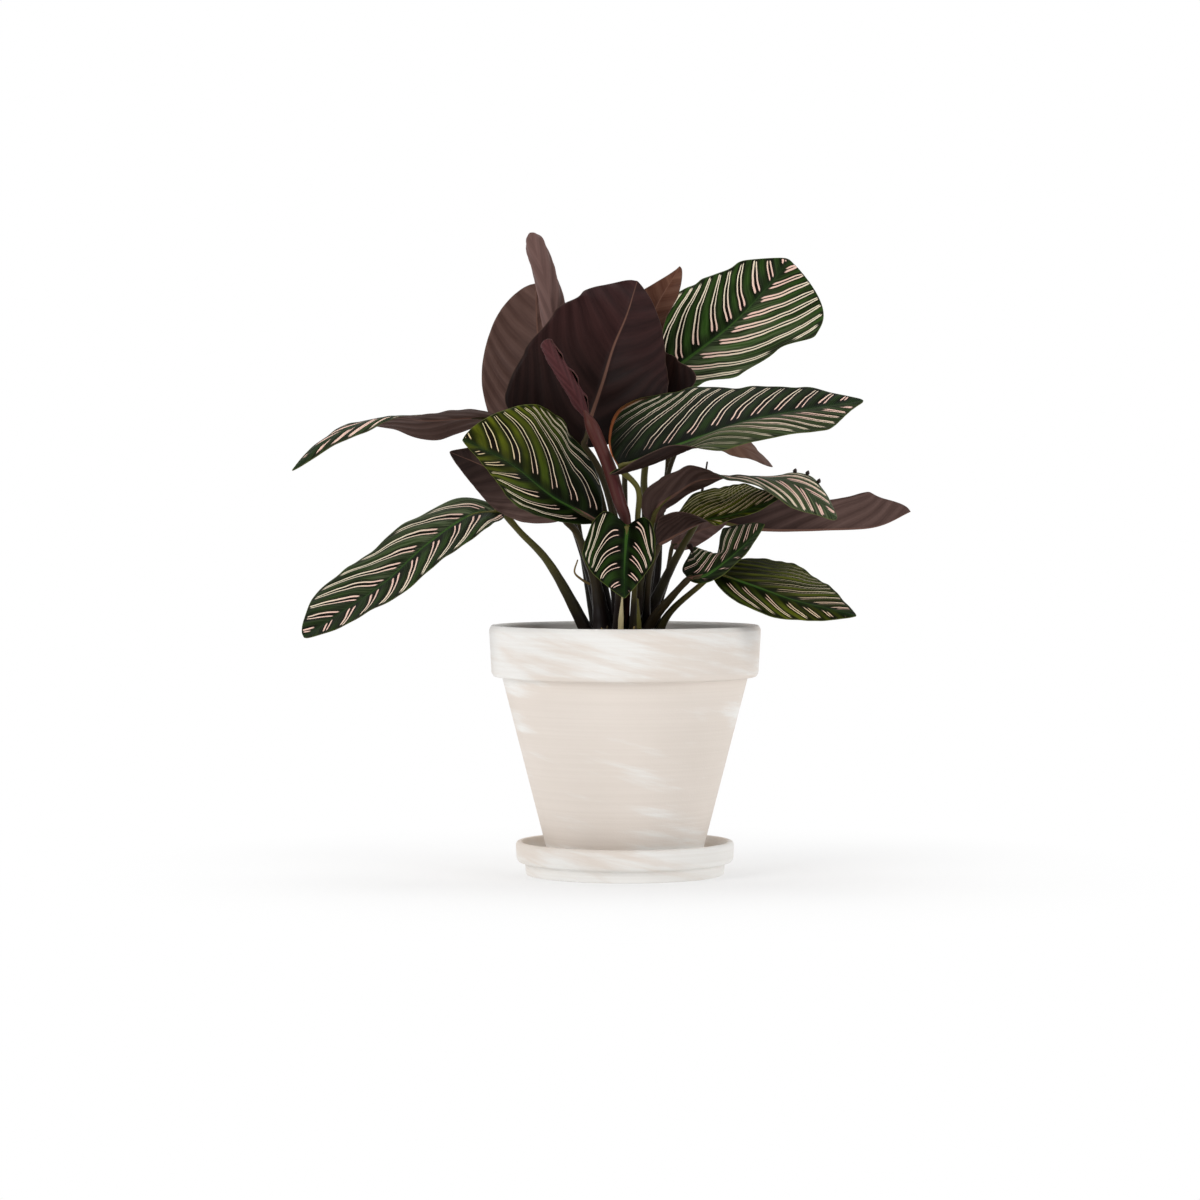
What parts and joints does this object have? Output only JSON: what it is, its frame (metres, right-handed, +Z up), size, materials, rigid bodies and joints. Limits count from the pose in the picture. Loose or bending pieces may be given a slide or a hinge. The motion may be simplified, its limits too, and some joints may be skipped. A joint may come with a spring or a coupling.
{
  "type": "potted pinstripe calathea",
  "caption": "Leafy prayer plant with pink pinstripes on dark green leaves and purple undersides, growing in a whitewashed clay pot on its saucer.",
  "frame": {"origin": "centre of the saucer's flat underside, at the height of the surface that it stands on", "axes": "+Z up; -Y is the front, where the heart-shaped leaf hangs over the rim; +X to the right seen from the front"},
  "size_m": [0.4106, 0.234, 0.4269],
  "materials": {
    "whitewashed_clay": "raw pale clay, rubbed with whitewash, matt",
    "potting_mix": "dark moist potting mix, matt",
    "striped_leaf": "soft satin leaf, dark green with paired pink and cream pinstripes, purple beneath",
    "olive_stem": "olive green leaf stalk, satin",
    "dark_stem": "dark purple-brown leaf stalk, satin",
    "purple_underside": "soft satin leaf seen from its wine-purple underside",
    "new_leaf": "young rolled leaf, mauve and burgundy, soft satin",
    "red_stem": "reddish brown sheathing leaf stalk, satin",
    "dried_bract": "papery straw-coloured bract or sheath, matt"
  },
  "bodies": {
    "root": {"saucer": "whitewashed_clay", "pot": "whitewashed_clay", "soil": "potting_mix", "leaf_heart": "striped_leaf", "stem_heart": "olive_stem", "leaf_front_left": "striped_leaf", "stem_front_left": "dark_stem", "leaf_left_underside": "purple_underside", "stem_left_underside": "dark_stem", "leaf_lower_left": "striped_leaf", "stem_lower_left": "olive_stem", "leaf_far_left": "striped_leaf", "stem_far_left": "dark_stem", "leaf_centre_dark": "purple_underside", "stem_centre_dark": "dark_stem", "leaf_back_left": "purple_underside", "stem_back_left": "dark_stem", "leaf_upright_roll": "new_leaf", "stem_upright_roll": "dark_stem", "leaf_front_roll": "new_leaf", "stem_front_roll": "red_stem", "leaf_top_right": "striped_leaf", "stem_top_right": "dark_stem", "leaf_brown_tip": "purple_underside", "stem_brown_tip": "olive_stem", "leaf_mid_right": "striped_leaf", "stem_mid_right": "olive_stem", "leaf_pink_tip": "new_leaf", "stem_pink_tip": "dark_stem", "leaf_arching": "striped_leaf", "stem_arching": "olive_stem", "leaf_yellow": "striped_leaf", "stem_yellow": "dark_stem", "leaf_right_under": "purple_underside", "stem_right_under": "olive_stem", "leaf_twisted": "striped_leaf", "stem_twisted": "dark_stem", "leaf_lower_right": "striped_leaf", "stem_lower_right": "olive_stem", "leaf_small_pink": "new_leaf", "stem_small_pink": "dark_stem", "leaf_back_low": "striped_leaf", "stem_back_low": "dark_stem", "leaf_back_centre": "striped_leaf", "stem_back_centre": "dark_stem", "leaf_back_right": "striped_leaf", "stem_back_right": "dark_stem", "shoot_spear": "new_leaf", "shoot_cream_sheath": "dried_bract", "shoot_green_sheath": "olive_stem", "dried_bract": "dried_bract"}
  },
  "joints": []
}
